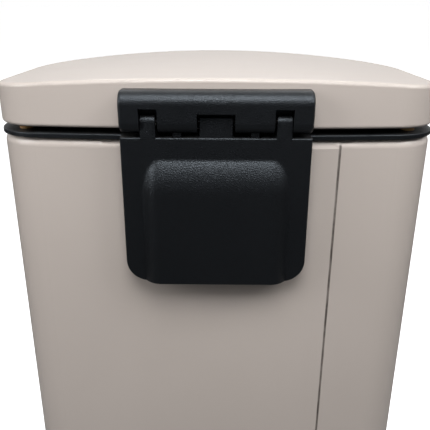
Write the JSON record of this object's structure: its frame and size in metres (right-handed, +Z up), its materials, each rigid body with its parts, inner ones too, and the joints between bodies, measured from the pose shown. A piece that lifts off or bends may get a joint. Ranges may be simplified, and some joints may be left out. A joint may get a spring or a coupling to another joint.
{
  "type": "pedal bin",
  "caption": "Half-round pedal bin in taupe painted steel with black plastic trim, a soft-close lid on a rear hinge, and a lift-out bucket.",
  "frame": {"origin": "on the floor, at the middle of the whole bin's overall box in plan", "axes": "+Z up; +Y to the rear, where the lid's hinge is; the pedal and the round front face -Y; +X to the right as seen from the pedal's side facing the bin"},
  "size_m": [0.29, 0.2594, 0.43],
  "materials": {
    "taupe_paint": "satin",
    "black_plastic": "grained",
    "bucket_plastic": "smooth",
    "amber_rubber": "soft",
    "black_rubber": "matte",
    "zinc_steel": "zinc plated",
    "black_steel": "black oxide",
    "bright_steel": "bright",
    "white_nylon": "smooth"
  },
  "bodies": {
    "body": {"body_shell": "taupe_paint", "rim_ring": "black_plastic", "base_ring": "black_plastic", "base_plate": "black_plastic", "base_screws": "bright_steel", "rubber_feet": "black_rubber", "pedal_bracket": "zinc_steel", "bracket_rivets": "bright_steel", "pedal_pin": "bright_steel", "pin_clips": "bright_steel", "rod_guides": "white_nylon", "inner_bucket": "bucket_plastic", "bucket_handle": "zinc_steel", "handle_grip": "black_plastic", "hinge_cover": "black_plastic", "centre_bearing": "black_plastic", "hinge_bushes": "white_nylon", "cover_screws": "bright_steel", "backing_plate": "zinc_steel", "damper_cylinders": "white_nylon", "damper_clips": "white_nylon"},
    "lid": {"lid_shell": "taupe_paint", "lid_liner": "black_plastic", "lid_bumpers": "amber_rubber", "push_pad": "white_nylon", "lid_bracket": "black_plastic", "bracket_screws": "bright_steel", "hinge_pin": "black_steel"},
    "pedal": {"pedal_lever": "zinc_steel", "pedal_pad": "black_rubber"},
    "push_rod": {"push_rod": "zinc_steel"},
    "plungers": {"damper_plungers": "bright_steel"}
  },
  "joints": [
    {"name": "lid_hinge", "type": "hinge", "parent": "body", "child": "lid", "pos_m": [0, 0.11985, 0.405], "axis": [-1, 0, 0], "range_deg": [0, 80]},
    {"name": "pedal_pivot", "type": "hinge", "parent": "body", "child": "pedal", "pos_m": [0, -0.04575, 0.025], "axis": [1, 0, 0], "range_deg": [0, 8]},
    {"name": "rod_lift", "type": "slide", "parent": "body", "child": "push_rod", "axis": [0, 0, 1], "range_m": [0, 0.021]},
    {"name": "damper_stroke", "type": "slide", "parent": "body", "child": "plungers", "axis": [0, 0, 1], "range_m": [0, 0.0055]}
  ],
  "couplings": [
    {"joint": "pedal_pivot", "follows": "lid_hinge", "ratio": 0.1},
    {"joint": "rod_lift", "follows": "lid_hinge", "m_per_rad": 0.01504},
    {"joint": "damper_stroke", "follows": "lid_hinge", "m_per_rad": 0.0039}
  ]
}
